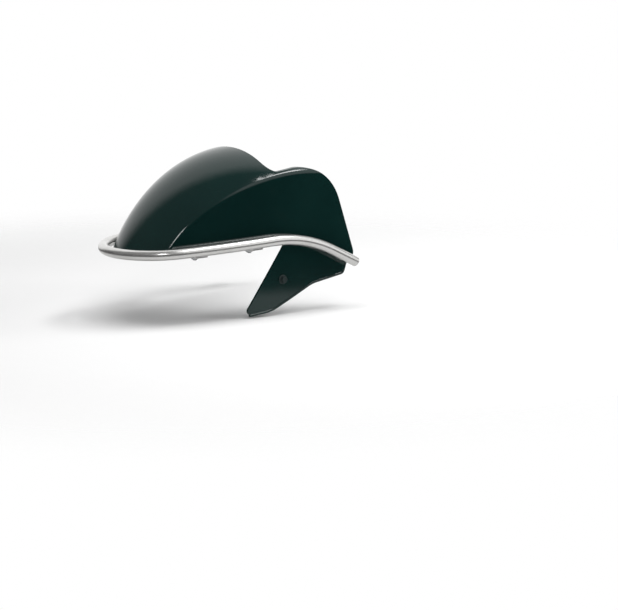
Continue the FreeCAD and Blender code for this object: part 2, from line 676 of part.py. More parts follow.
# Straps welded under the tube and bosses welded behind it.
strap_top = -size("bar_drop") - size("tube_radius") + size("strap_bite")
strap_low = strap_top - size("strap_thickness")
metal = []
drills = []
strap_turns = []
for index, (spot, flat) in enumerate(strap_spots, start=1):
    base = Vector(spot.x, spot.y, strap_low)
    side = left if spot.y > 0 else right
    way = Vector(spot.x - side_centre.x, spot.y - side * side_centre.y, 0)
    reach = size("bar_side_radius") - way.Length
    turn = math.degrees(math.atan2(way.y, way.x))
    strap_turns.append(turn)
    across = Rotation(up, turn).multVec(Vector(0, 1, 0))
    corner = base - across * (size("strap_width") / 2)
    reach_text = "%r" % reach
    strap = box("strap_%d" % index, reach_text, cell("strap_width"), cell("strap_thickness"), corner, turn)
    metal.append(carry(strap, leaned))
    eye = cylinder("strap_end_%d" % index, "Sizes.strap_width / 2", cell("strap_thickness"), base, up)
    metal.append(carry(eye, leaned))
    drill = cylinder("strap_drill_%d" % index, hole_rule, "3 * Sizes.strap_thickness",
                     base - up * size("strap_thickness"), up)
    drills.append(carry(drill, leaned))
for index, (point, normal, reach) in enumerate(boss_spots, start=1):
    metal.append(cylinder("boss_%d" % index, cell("boss_radius"), "%r" % reach, point, normal))
    drills.append(cylinder("boss_drill_%d" % index, "Sizes.bolt_radius + Sizes.thread_clearance",
                           cell("boss_thread_depth"), point - normal, normal))
bar_full = join("bar_full", rods + metal)
bar_bore = join("bar_bore", bores)
bar_open = cut("bar_open", bar_full, bar_bore)
drill_set = join("drill_set", drills)
bumper_bar = cut("bumper_bar", bar_open, drill_set)

# Plugs pressed into the tube ends.
plug_cap = cylinder("plug_rim", cell("tube_radius"), cell("plug_cap"), Vector(0, 0, 0), up)
plug_top = doc.addObject("Part::Cone", "plug_top")
plug_top.setExpression("Radius1", cell("tube_radius"))
plug_top.setExpression("Radius2", "Sizes.tube_radius - Sizes.plug_bevel")
plug_top.setExpression("Height", cell("plug_bevel"))
plug_top.Placement = Placement(up * size("plug_cap"), Rotation())
plug_base = Vector(0, 0, -size("plug_depth"))
plug_stem = cylinder("plug_stem", "Sizes.tube_radius - Sizes.tube_wall", cell("plug_depth"), plug_base, up)
plug = join("plug", [plug_cap, plug_top, plug_stem])
plug_places = [Placement(mirrored(bar_end, k), Rotation(up, mirrored(tail_way, k))) for k in (left, right)]
bar_end_plugs = group("bar_end_plugs", plug, plug_places)

# Strap fixings, drawn about the bolt axis with zero at the strap's lower face.
pad_height = -size("edge_drop") - strap_top
lip_top = size("strap_thickness") + pad_height + size("wall")
pad_rule = "Sizes.bar_drop + Sizes.tube_radius - Sizes.strap_bite - Sizes.edge_drop"
strap_rule = "Sizes.strap_thickness + Sizes.wall + %s" % pad_rule
zero = Vector(0, 0, 0)
pad_disc = cylinder("pad_disc", "Sizes.strap_width / 2", pad_rule, up * size("strap_thickness"), up)
pad_hole = cylinder("pad_hole", hole_rule, "8 * Sizes.wall", zero, up)
pad_one = cut("pad_one", pad_disc, pad_hole)
bolt_low = -size("nut_height") - size("bolt_past_nut")
bolt_rule = strap_rule + " + Sizes.washer_thickness + Sizes.nut_height + Sizes.bolt_past_nut"
bolt_shank = cylinder("bolt_shank", cell("bolt_radius"), bolt_rule, up * bolt_low, up)
head_low = up * (lip_top + size("washer_thickness"))
bolt_head = hexagon("bolt_head", "head_flats", cell("head_height"), head_low, up)
bolt_one = join("bolt_one", [bolt_head, bolt_shank])
washer_disc = cylinder("washer_disc", cell("washer_radius"), cell("washer_thickness"), up * lip_top, up)
washer_one = cut("washer_one", washer_disc, pad_hole)
nut_block = hexagon("nut_block", "head_flats", cell("nut_height"), up * -size("nut_height"), up)
nut_hole = cylinder("nut_hole", "Sizes.bolt_radius + Sizes.thread_clearance", "3 * Sizes.nut_height",
                    up * -2 * size("nut_height"), up)
nut_one = cut("nut_one", nut_block, nut_hole)
strap_places = []
for (spot, flat), turn in zip(strap_spots, strap_turns):
    strap_places.append(leaned.multiply(Placement(Vector(spot.x, spot.y, strap_low), Rotation(up, turn))))
strap_pads = group("strap_pads", pad_one, strap_places)
strap_bolts = group("strap_bolts", bolt_one, strap_places)
strap_washers = group("strap_washers", washer_one, strap_places)
strap_nuts = group("strap_nuts", nut_one, strap_places)

# Rear fixings, drawn with zero at the inner cheek face and the bolt pointing outwards.
rear_washer_disc = cylinder("rear_washer_disc", cell("washer_radius"), cell("washer_thickness"),
                            up * -size("washer_thickness"), up)
rear_washer_hole = cylinder("rear_washer_hole", hole_rule, "4 * Sizes.washer_thickness",
                            up * -2 * size("washer_thickness"), up)
rear_washer = cut("rear_washer", rear_washer_disc, rear_washer_hole)
rear_low = up * -(size("head_height") + size("washer_thickness"))
rear_head = hexagon("rear_head", "head_flats", cell("head_height"), rear_low, up)
shank_rule = "Sizes.washer_thickness + Sizes.wall + Sizes.boss_thread_depth - Sizes.boss_thread_spare"
rear_shank = cylinder("rear_shank", cell("bolt_radius"), shank_rule, up * -size("washer_thickness"), up)
rear_bolt = join("rear_bolt", [rear_head, rear_shank])
boss_places = []
for point, normal, reach in boss_spots:
    inner = point - normal * (size("wall") + size("seat_clearance"))
    boss_places.append(Placement(inner, Rotation(up, normal)))
boss_bolts = group("boss_bolts", rear_bolt, boss_places)
boss_washers = group("boss_washers", rear_washer, boss_places)

# Threaded inserts in the crown bosses.
insert_body = cylinder("insert_body", cell("insert_radius"), cell("insert_length"), zero, up)
insert_bore = cylinder("insert_bore", cell("insert_bore_radius"), "3 * Sizes.insert_length",
                       up * -size("insert_length"), up)
insert_one = cut("insert_one", insert_body, insert_bore)
crown_inserts = group("crown_inserts", insert_one, [Placement(spot, Rotation()) for spot in mount_spots])

# Skirt bush and flanged shoulder screw, along the outward direction of the tongue.
bush_rule = "Sizes.skirt_boss_depth + Sizes.bush_proud"
bush_tube = cylinder("bush_tube", cell("bush_radius"), bush_rule, seat_base, screw_out)
bore_rule = "Sizes.shoulder_radius + Sizes.bolt_clearance"
bush_hole = cylinder("bush_bore", bore_rule, "3 * Sizes.skirt_boss_depth",
                     seat_base - screw_out * size("skirt_boss_depth"), screw_out)
skirt_bush = cut("skirt_bush", bush_tube, bush_hole)
head_base = screw_spot + screw_out * size("bush_proud")
flange_radius, flange_height = cell("skirt_flange_radius"), cell("skirt_flange_height")
flange = cylinder("skirt_flange", flange_radius, flange_height, head_base, screw_out)
hex_base = head_base + screw_out * size("skirt_flange_height")
skirt_hex = hexagon("skirt_hex", "skirt_head_flats", cell("head_height"), hex_base, screw_out)
shoulder = cylinder("skirt_shoulder", cell("shoulder_radius"), bush_rule, seat_base, screw_out)
shank_base = seat_base - screw_out * size("skirt_shank_free")
skirt_shank = cylinder("skirt_shank", cell("bolt_radius"), cell("skirt_shank_free"), shank_base, screw_out)
skirt_screw = join("skirt_screw", [flange, skirt_hex, shoulder, skirt_shank])

doc.recompute()
for item in doc.Objects:
    if "Invalid" in item.State or "Error" in item.State:
        raise RuntimeError("not built: " + item.Name)
nodes = [shell, bumper_bar, bar_end_plugs, strap_pads, strap_bolts, strap_washers, strap_nuts,
         boss_bolts, boss_washers, crown_inserts, skirt_bush, skirt_screw]
os.makedirs("parts", exist_ok=True)
for item in nodes:
    if item.Shape.isNull() or not item.Shape.isValid():
        raise RuntimeError("bad shape: " + item.Label)
    item.Shape.exportStep("parts/%s.step" % item.Label)
    print(item.Label, len(item.Shape.Solids), round(item.Shape.Volume))
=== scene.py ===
import json
import math
import bpy
import numpy as np
from mathutils import Matrix, Vector


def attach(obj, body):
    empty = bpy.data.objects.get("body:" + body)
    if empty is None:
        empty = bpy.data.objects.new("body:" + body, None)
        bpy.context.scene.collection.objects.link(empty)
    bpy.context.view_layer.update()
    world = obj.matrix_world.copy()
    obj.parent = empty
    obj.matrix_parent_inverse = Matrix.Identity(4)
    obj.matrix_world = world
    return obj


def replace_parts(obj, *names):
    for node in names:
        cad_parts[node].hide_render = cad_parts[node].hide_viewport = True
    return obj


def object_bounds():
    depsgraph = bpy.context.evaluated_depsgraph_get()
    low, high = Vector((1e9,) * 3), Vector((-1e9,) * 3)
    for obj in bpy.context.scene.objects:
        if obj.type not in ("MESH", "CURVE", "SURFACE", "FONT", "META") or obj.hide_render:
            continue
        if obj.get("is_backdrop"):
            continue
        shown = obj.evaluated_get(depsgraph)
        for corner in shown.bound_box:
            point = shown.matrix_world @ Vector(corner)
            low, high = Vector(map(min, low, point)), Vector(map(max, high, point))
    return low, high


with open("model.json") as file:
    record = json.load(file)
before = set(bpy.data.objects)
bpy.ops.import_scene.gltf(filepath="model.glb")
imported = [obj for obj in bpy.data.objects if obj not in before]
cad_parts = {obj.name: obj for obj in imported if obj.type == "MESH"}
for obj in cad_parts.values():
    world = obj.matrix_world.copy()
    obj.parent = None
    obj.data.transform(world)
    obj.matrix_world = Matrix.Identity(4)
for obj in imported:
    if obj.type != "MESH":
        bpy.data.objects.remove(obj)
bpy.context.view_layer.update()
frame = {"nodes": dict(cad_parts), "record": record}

nodes = frame["nodes"]
print("loaded", len(nodes), "nodes")


class Wire:
    # One shader socket. Sums between wires and numbers add Math nodes.
    def __init__(self, finish, socket):
        self.finish = finish
        self.socket = socket

    def reckon(self, operation, first, second):
        return self.finish.add("ShaderNodeMath", {"operation": operation}, {0: first, 1: second})

    def __add__(self, other):
        return self.reckon("ADD", self, other)

    def __radd__(self, other):
        return self.reckon("ADD", other, self)

    def __sub__(self, other):
        return self.reckon("SUBTRACT", self, other)

    def __rsub__(self, other):
        return self.reckon("SUBTRACT", other, self)

    def __mul__(self, other):
        return self.reckon("MULTIPLY", self, other)

    def __rmul__(self, other):
        return self.reckon("MULTIPLY", other, self)


class Finish:
    # A node tree under construction: a material's, or the world's.
    def __init__(self, owner):
        self.owner = owner
        owner.use_nodes = True
        self.tree = owner.node_tree
        self.tree.nodes.clear()

    def add(self, kind, settings=None, sockets=None, out=0):
        node = self.tree.nodes.new(kind)
        for key, value in (settings or {}).items():
            setattr(node, key, value)
        for key, value in (sockets or {}).items():
            if isinstance(value, Wire):
                self.tree.links.new(value.socket, node.inputs[key])
            else:
                node.inputs[key].default_value = value
        return Wire(self, node.outputs[out]) if node.outputs else None

    def noise(self, place, scale, detail=3.0, roughness=0.5):
        return self.add("ShaderNodeTexNoise", {}, {
            "Vector": place, "Scale": scale, "Detail": detail, "Roughness": roughness})

    def vector(self, operation, first, second, out=0):
        return self.add("ShaderNodeVectorMath", {"operation": operation}, {0: first, 1: second}, out)

    def blend(self, share, first, second):
        return self.add("ShaderNodeMix", {"data_type": "RGBA"}, {0: share, 6: first, 7: second}, 2)

    def between(self, value, low, high, lowOut=0.0, highOut=1.0):
        return self.add("ShaderNodeMapRange", {"interpolation_type": "SMOOTHSTEP"}, {
            "Value": value, "From Min": low, "From Max": high, "To Min": lowOut, "To Max": highOut})

    def patches(self, place, pattern, edge):
        return self.between(self.noise(place, *pattern), *edge)

    def bump(self, height, strength, distance=0.0001):
        return self.add("ShaderNodeBump", {}, {
            "Height": height, "Strength": strength, "Distance": distance})

    def surface(self, sockets):
        shader = self.add("ShaderNodeBsdfPrincipled", {}, sockets)
        self.add("ShaderNodeOutputMaterial", {}, {"Surface": shader})
        return self.owner


def newFinish(name):
    finish = Finish(bpy.data.materials.new(name))
    return finish, finish.add("ShaderNodeTexCoord", out="Object")


# In the looks, a pattern is a noise's scale, detail and roughness.
# An edge gives the noise at which its patches begin and are full.

# Gloss paint: deep blue-green under clear coat outside, dull dusty overspray inside.
# A face is inside where its normal points towards the middle of the hollow.
paintLook = {
    "deep": (0.0026, 0.0165, 0.0150, 1.0),
    "shallow": (0.0037, 0.0210, 0.0188, 1.0),
    "overspray": (0.0140, 0.0270, 0.0260, 1.0),
    "dust": (0.100, 0.092, 0.080, 1.0),
    "hollow": (-0.045, 0.0, -0.150),
    "insideEdge": (-0.004, -0.03),
    "cloud": (7.0, 4.0),
    "cloudEdge": (0.35, 0.65),
    "speck": (420.0, 2.0),
    "speckEdge": (0.60, 0.72),
    "speckShare": 0.35,
    "film": (38.0, 6.0, 0.62),
    "filmEdge": (0.50, 0.74),
    "filmOutside": 0.02,
    "filmInside": 0.58,
    "filmShare": 0.5,
    "peel": (300.0, 1.0),
    "peelHeight": 0.4,
    "pebble": (900.0, 2.0),
    "pebbleHeight": 4.0,
    "bump": 0.12,
    "roughness": 0.32,
    "insideRougher": 0.30,
    "filmRougher": 0.10,
    "insideCoatLoss": 0.88,
    "filmCoatLoss": 0.25,
    "coatRoughness": 0.07,
    "coatIor": 1.5,
}


def makePaint(look):
    finish, place = newFinish("paint")
    facing = finish.add("ShaderNodeTexCoord", out="Normal")
    away = finish.vector("SUBTRACT", place, look["hollow"])
    outward = finish.vector("DOT_PRODUCT", away, facing, "Value")
    inside = finish.between(outward, *look["insideEdge"])
    cloud = finish.patches(place, look["cloud"], look["cloudEdge"])
    speck = finish.patches(place, look["speck"], look["speckEdge"]) * inside
    film = finish.patches(place, look["film"], look["filmEdge"])
    film = film * (look["filmOutside"] + look["filmInside"] * inside)
    outer = finish.blend(cloud, look["deep"], look["shallow"])
    skin = finish.blend(inside, outer, look["overspray"])
    gritty = finish.blend(speck * look["speckShare"], skin, look["dust"])
    peel = finish.noise(place, *look["peel"]) * (1 - inside) * look["peelHeight"]
    pebble = finish.noise(place, *look["pebble"]) * inside * look["pebbleHeight"]
    return finish.surface({
        "Base Color": finish.blend(film * look["filmShare"], gritty, look["dust"]),
        "Roughness": look["roughness"] + look["insideRougher"] * inside + look["filmRougher"] * film,
        "Specular IOR Level": 0.0,
        "Coat Weight": 1.0 - look["insideCoatLoss"] * inside - look["filmCoatLoss"] * film,
        "Coat Roughness": look["coatRoughness"],
        "Coat IOR": look["coatIor"],
        "Normal": finish.bump(peel + pebble, look["bump"]),
    })


# Chrome plate: bright, a little warm, with faint wiping marks and pits.
chromeLook = {
    "bright": (0.74, 0.735, 0.72, 1.0),
    "smeared": (0.58, 0.575, 0.56, 1.0),
    "smear": (24.0, 5.0, 0.6),
    "smearEdge": (0.45, 0.75),
    "smearShare": 0.45,
    "pits": (1300.0, 1.0),
    "pitEdge": (0.70, 0.78),
    "pitShare": 0.25,
    "fine": (260.0, 3.0),
    "fineHeight": 0.5,
    "bump": 0.03,
    "metallic": 0.82,
    "smearMetalLoss": 0.10,
    "roughness": 0.22,
    "smearRougher": 0.06,
    "fineRougher": 0.02,
}


def makeChrome(look):
    finish, place = newFinish("chrome")
    smear = finish.patches(place, look["smear"], look["smearEdge"])
    pits = finish.patches(place, look["pits"], look["pitEdge"])
    fine = finish.noise(place, *look["fine"])
    dull = smear * look["smearShare"] + pits * look["pitShare"]
    return finish.surface({
        "Base Color": finish.blend(dull, look["bright"], look["smeared"]),
        "Metallic": look["metallic"] - smear * look["smearMetalLoss"],
        "Roughness": look["roughness"] + smear * look["smearRougher"] + fine * look["fineRougher"],
        "Normal": finish.bump(fine * look["fineHeight"] - pits, look["bump"]),
    })


# Zinc plate: grey with a faint straw bloom, dull patches and a fine grain.
zincLook = {
    "grey": (0.58, 0.59, 0.60, 1.0),
    "straw": (0.58, 0.54, 0.44, 1.0),
    "dull": (0.30, 0.30, 0.29, 1.0),
    "bloom": (90.0, 3.0),
    "bloomEdge": (0.42, 0.66),
    "bloomShare": 0.6,
    "tarnish": (240.0, 4.0, 0.6),
    "tarnishEdge": (0.56, 0.74),
    "tarnishShare": 0.6,
    "tarnishMetalLoss": 0.25,
    "grain": (1500.0, 3.0),
    "bump": 0.18,
    "roughness": 0.30,
    "grainRougher": 0.14,
    "tarnishRougher": 0.16,
}


def makeZinc(look):
    finish, place = newFinish("zincSteel")
    bloom = finish.patches(place, look["bloom"], look["bloomEdge"])
    tarnish = finish.patches(place, look["tarnish"], look["tarnishEdge"])
    grain = finish.noise(place, *look["grain"])
    plate = finish.blend(bloom * look["bloomShare"], look["grey"], look["straw"])
    return finish.surface({
        "Base Color": finish.blend(tarnish * look["tarnishShare"], plate, look["dull"]),
        "Metallic": 1.0 - look["tarnishMetalLoss"] * tarnish,
        "Roughness": look["roughness"] + look["grainRougher"] * grain + look["tarnishRougher"] * tarnish,
        "Normal": finish.bump(grain, look["bump"]),
    })


# Black rubber with a grey bloom.
rubberLook = {
    "black": (0.016, 0.016, 0.017, 1.0),
    "worn": (0.040, 0.039, 0.037, 1.0),
    "bloom": (160.0, 4.0),
    "bloomEdge": (0.45, 0.70),
    "grain": (2200.0, 2.0),
    "bump": 0.30,
    "roughness": 0.62,
    "bloomRougher": 0.18,
}


def makeRubber(look):
    finish, place = newFinish("rubber")
    bloom = finish.patches(place, look["bloom"], look["bloomEdge"])
    return finish.surface({
        "Base Color": finish.blend(bloom, look["black"], look["worn"]),
        "Roughness": look["roughness"] + look["bloomRougher"] * bloom,
        "Normal": finish.bump(finish.noise(place, *look["grain"]), look["bump"]),
    })


# Plain brass, tarnished in patches.
brassLook = {
    "yellow": (0.72, 0.53, 0.24, 1.0),
    "dull": (0.40, 0.29, 0.13, 1.0),
    "tarnish": (300.0, 4.0),
    "tarnishEdge": (0.44, 0.72),
    "grain": (1800.0, 2.0),
    "bump": 0.10,
    "roughness": 0.26,
    "tarnishRougher": 0.22,
}


def makeBrass(look):
    finish, place = newFinish("brass")
    tarnish = finish.patches(place, look["tarnish"], look["tarnishEdge"])
    return finish.surface({
        "Base Color": finish.blend(tarnish, look["yellow"], look["dull"]),
        "Metallic": 1.0,
        "Roughness": look["roughness"] + look["tarnishRougher"] * tarnish,
        "Normal": finish.bump(finish.noise(place, *look["grain"]), look["bump"]),
    })


# Dark coating on steel: dull, rubbed a little in patches.
darkLook = {
    "coat": (0.013, 0.024, 0.024, 1.0),
    "bare": (0.034, 0.052, 0.052, 1.0),
    "rubbed": (520.0, 4.0, 0.6),
    "rubbedEdge": (0.52, 0.70),
    "rubbedShare": 0.7,
    "grain": (1900.0, 2.0),
    "bump": 0.15,
    "metallic": 0.2,
    "rubbedMetallic": 0.3,
    "roughness": 0.42,
    "grainRougher": 0.12,
}


def makeDark(look):
    finish, place = newFinish("darkSteel")
    rubbed = finish.patches(place, look["rubbed"], look["rubbedEdge"])
    grain = finish.noise(place, *look["grain"])
    return finish.surface({
        "Base Color": finish.blend(rubbed * look["rubbedShare"], look["coat"], look["bare"]),
        "Metallic": look["metallic"] + look["rubbedMetallic"] * rubbed,
        "Roughness": look["roughness"] + look["grainRougher"] * grain,
        "Normal": finish.bump(grain, look["bump"]),
    })


finishes = {
    "paint": makePaint(paintLook),
    "chrome": makeChrome(chromeLook),
    "zinc_steel": makeZinc(zincLook),
    "rubber": makeRubber(rubberLook),
    "brass": makeBrass(brassLook),
    "dark_steel": makeDark(darkLook),
}
nodeSlots = {part["node"]: part["material_slot"] for part in frame["record"]["subparts"]}
for name, item in nodes.items():
    item.data.materials.clear()
    item.data.materials.append(finishes[nodeSlots[name]])
print("finishes on", len(nodeSlots), "nodes")


def addPiece(name, points, blocks, slot, smoothAngle=40.0):
    # Each block is an array of faces, one row of corners to a face.
    mesh = bpy.data.meshes.new(name)
    mesh.from_pydata(points.tolist(), [], sum((block.tolist() for block in blocks), []))
    mesh.update()
    piece = bpy.data.objects.new(name, mesh)
    bpy.context.scene.collection.objects.link(piece)
    mesh.polygons.foreach_set("use_smooth", np.ones(len(mesh.polygons), bool))
    mesh.set_sharp_from_angle(angle=math.radians(smoothAngle))
    mesh.materials.append(finishes[slot])
    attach(piece, "root")
    return piece


def joined(bodies):
    starts = np.cumsum([0] + [len(points) for points, _ in bodies])
    blocks = [block + start for (_, own), start in zip(bodies, starts) for block in own]
    return np.concatenate([points for points, _ in bodies]), blocks


def unit(rows):
    return rows / np.linalg.norm(rows, axis=-1, keepdims=True)


def fullTurn(count):
    return np.linspace(0.0, 2.0 * np.pi, count, endpoint=False)


def gridFaces(rows, columns, closed=False):
    # Quads between neighbouring rows.
    # The last column joins the first, and so does the last row if closed.
    strips = np.arange(rows if closed else rows - 1)
    row, column = np.meshgrid(strips, np.arange(columns), indexing="ij")
    after, above = (column + 1) % columns, (row + 1) % rows
    quads = np.stack([row * columns + column, row * columns + after, above * columns + after,
                      above * columns + column], axis=-1)
    return quads.reshape(-1, 4)


def loopBody(rings):
    # Rings that come round to the first again.
    return rings.reshape(-1, 3), [gridFaces(*rings.shape[:2], True)]


def poledBody(rings, ends):
    # Rings in a row, with a fan of triangles to a pole at each end.
    rows, columns = rings.shape[:2]
    side = np.arange(columns)
    after, last = (side + 1) % columns, (rows - 1) * columns
    low, high = np.full(columns, rows * columns), np.full(columns, rows * columns + 1)
    lowFan = np.stack([low, after, side], axis=-1)
    highFan = np.stack([high, side + last, after + last], axis=-1)
    return np.concatenate([rings.reshape(-1, 3), ends]), [gridFaces(rows, columns), lowFan, highFan]


def turnedRings(height, radius):
    # Point at (row, turn): radius times cosine and sine of the turn, at the row's height.
    turn = fullTurn(radius.shape[1])
    level = np.broadcast_to(height, radius.shape)
    return np.stack([radius * np.cos(turn), radius * np.sin(turn), level], axis=-1)


def turnedBody(parts):
    # Parts stacked up the axis, each a column of heights and a table of radii.
    height = np.concatenate([part[0] for part in parts])
    radius = np.concatenate([part[1] for part in parts])
    ends = np.array([[0.0, 0.0, height[0, 0]], [0.0, 0.0, height[-1, 0]]])
    return poledBody(turnedRings(height, radius), ends)


def tubeRings(path, along, normal, radius, columns):
    # Ring at a path point: radius times cosine along the normal and sine along the cross direction.
    across = np.cross(unit(along), normal)
    turn = fullTurn(columns)[None, :, None]
    around = np.cos(turn) * normal[:, None] + np.sin(turn) * across[:, None]
    return path[:, None] + radius[:, None, None] * around


def readMesh(items, key, width):
    flat = np.empty(len(items) * width, np.float32)
    items.foreach_get(key, flat)
    return flat.reshape(-1, width).astype(float)


def fixings(name, split=-1.0):
    # The copies in a node, told apart by side and by which end of the split they lie at.
    # A copy's axis is the direction whose share of the wall area differs from the other two.
    mesh = nodes[name].data
    points, centres = readMesh(mesh.vertices, "co", 3), readMesh(mesh.polygons, "center", 3)
    normals, areas = readMesh(mesh.polygons, "normal", 3), readMesh(mesh.polygons, "area", 1)
    pointKeys = (points[:, 0] > split) * 2 + (points[:, 1] > 0)
    faceKeys = (centres[:, 0] > split) * 2 + (centres[:, 1] > 0)
    found = []
    for key in np.unique(pointKeys):
        wall = normals[faceKeys == key]
        shares, ways = np.linalg.eigh((wall * areas[faceKeys == key]).T @ wall)
        axis = Vector(ways[:, 0] if shares[1] - shares[0] > shares[2] - shares[1] else ways[:, 2])
        found.append(standing(points[pointKeys == key], axis))
    return found


def standing(points, axis, ends=(0.4, 0.6), wider=1e-4):
    # Stands a copy upright on its narrow end.
    # Gives its turn, base, length, levels, points and the direction of a corner.
    lean = np.array(Vector((0, 0, 1)).rotation_difference(axis).to_matrix())
    local = points @ lean
    low, high = local.min(0), local.max(0)
    base = np.array([(low[0] + high[0]) / 2.0, (low[1] + high[1]) / 2.0, low[2]])
    local = local - base
    reach = np.hypot(local[:, 0], local[:, 1])
    length = high[2] - low[2]
    foot, head = local[:, 2] < length * ends[0], local[:, 2] > length * ends[1]
    if reach[foot].max() > reach[head].max() + wider:
        return standing(points, -axis)
    far = local[reach.argmax()]
    levels = np.unique(np.round(local[:, 2], 5))
    return {"lean": lean, "base": base, "length": length, "levels": levels, "points": local,
            "corner": math.atan2(far[1], far[0])}


def stood(body, place):
    # Turns a body drawn upright to its corner, and puts it back where the copy stands.
    points, blocks = body
    spin = np.array(Matrix.Rotation(place["corner"] - math.pi / 6.0, 3, "Z"))
    return (points @ spin.T + place["base"]) @ place["lean"].T, blocks


# What screws and nuts share. Shares are of the thread's depth, the tip's length,
# half the width over flats, and for the dish's drops the chamfer.
screwShape = {
    "columns": 72,  # a multiple of 12, so that a hexagon's corners fall on points
    "perPitch": 8,
    "leastRows": 4,
    "shallowEnds": 0.25,
    "tipCuts": (1.6, 0.8),
    "tipStep": 0.6,
    "washerFace": (0.97, 0.99),
    "crown": 0.96,
    "dish": ((0.2, 0.80), (0.3, 0.30)),
    "nutFace": 0.95,
}


def screwRows(stations):
    # Stations run up the axis: height, radius, and the width over flats or zero where it is round.
    # A hexagon's side is half the width over the cosine of the turn from the nearest flat's middle.
    # Its corners are cut by the station's radius, which makes the chamfer.
    table, columns = np.array(stations), screwShape["columns"]
    ring = np.broadcast_to(table[:, 1:2], (len(table), columns))
    flats, sixth = table[:, 2:3], np.pi / 3.0
    fromFlat = (fullTurn(columns) + sixth / 2.0) % sixth - sixth / 2.0
    sides = np.where(flats > 0, flats, 1.0) / 2.0 / np.cos(fromFlat)
    return table[:, 0:1], np.where(flats > 0, np.minimum(sides, ring), ring)


def threadRows(low, high, look):
    # Radius falls by a triangle wave of turn less height over the pitch, and is shallow at both ends.
    pitch = look["pitch"]
    rows = max(screwShape["leastRows"], int((high - low) / pitch * screwShape["perPitch"]))
    height = np.linspace(low, high, rows)[:, None]
    turn = np.linspace(0.0, 1.0, screwShape["columns"], endpoint=False)
    wave = np.abs(((turn - height / pitch) % 1.0) * 2.0 - 1.0)
    fade = np.clip(np.minimum(height - low, high - height) / pitch, 0.0, 1.0)
    cut = look["depth"] * wave * np.clip(fade + screwShape["shallowEnds"], 0.0, 1.0)
    return height, look["radius"] - cut


def threadEnd(top, look):
    # Rounded tip and thread, from the narrow end up to a level.
    first, second = [look["radius"] - look["depth"] * cut for cut in screwShape["tipCuts"]]
    tip = look["tip"]
    return [screwRows([(0.0, first, 0.0), (tip * screwShape["tipStep"], second, 0.0)]),
            threadRows(tip, top, look)]


def hexHead(low, high, look):
    # Washer face, six flats, chamfer, and a shallow dish in the top.
    flats, chamfer, foot = look["flats"], look["chamfer"], low + look["foot"]
    corner, across = flats / math.sqrt(3.0), flats / 2.0
    inner, outer = [across * share for share in screwShape["washerFace"]]
    crown = across * screwShape["crown"]
    dish = [(high - chamfer * drop, across * share, 0.0) for drop, share in screwShape["dish"]]
    return screwRows([(low, inner, 0.0), (foot, outer, 0.0), (foot, corner, flats),
                      (high - chamfer, corner, flats), (high, crown, 0.0)] + dish)


# Hexagon bolts: thread and rounded tip below, chamfered head with a washer face above.
hexBolt = {
    "radius": 0.003,
    "flats": 0.010,
    "head": 0.004,
    "chamfer": 0.0006,
    "foot": 0.0003,
    "pitch": 0.001,
    "depth": 0.00055,
    "thread": 0.012,
    "threadShare": 0.7,
    "runOut": 0.0002,
    "tip": 0.0007,
    "strapSplit": 0.022,  # between the front and rear straps
}


def boltBody(length, look):
    # Tip and thread, plain shank and head, from the narrow end up.
    neck = length - look["head"]
    top = min(look["thread"], neck * look["threadShare"])
    shank = screwRows([(top + look["runOut"], look["radius"], 0.0), (neck, look["radius"], 0.0)])
    return turnedBody(threadEnd(top, look) + [shank, hexHead(neck, length, look)])


def makeBolts(name, node, look, split):
    bodies = [stood(boltBody(place["length"], look), place) for place in fixings(node, split)]
    piece = addPiece(name, *joined(bodies), "zinc_steel")
    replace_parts(piece, node)


makeBolts("strapBolts", "strap_bolts", hexBolt, hexBolt["strapSplit"])
makeBolts("bossBolts", "boss_bolts", hexBolt, -1.0)

# Hexagon nuts: both ends chamfered, with a plain countersunk bore.
hexNut = {"flats": 0.010, "bore": 0.00305, "chamfer": 0.0007, "sink": 0.0004, "strapSplit": 0.022}


def nutBody(length, look):
    # The section is a closed loop: out along the foot, up the outside, in along the top, down the bore.
    flats, chamfer, bore, sink = look["flats"], look["chamfer"], look["bore"], look["sink"]
    corner, face = flats / math.sqrt(3.0), flats / 2.0 * screwShape["nutFace"]
    return loopBody(turnedRings(*screwRows([
        (sink, bore, 0.0), (0.0, bore + sink, 0.0), (0.0, face, 0.0), (chamfer, corner, flats),
        (length - chamfer, corner, flats), (length, face, 0.0), (length, bore + sink, 0.0),
        (length - sink, bore, 0.0)])))


def makeNuts(look):
    places = fixings("strap_nuts", look["strapSplit"])
    bodies = [stood(nutBody(place["length"], look), place) for place in places]
    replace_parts(addPiece("strapNuts", *joined(bodies), "zinc_steel"), "strap_nuts")


makeNuts(hexNut)

# Skirt screw: threaded pin, plain shoulder, sloped flange and a small chamfered hexagon.
skirtScrew = {
    "radius": 0.003,
    "flats": 0.008,
    "chamfer": 0.0006,
    "foot": 0.0001,
    "pitch": 0.001,
    "depth": 0.00055,
    "tip": 0.0008,
    "relief": 0.0006,
    "rim": 0.0006,
    "edge": 0.0002,
    "slopeRise": 0.0005,
    "slopeShare": 0.60,
    "levelGap": 2e-5,
}


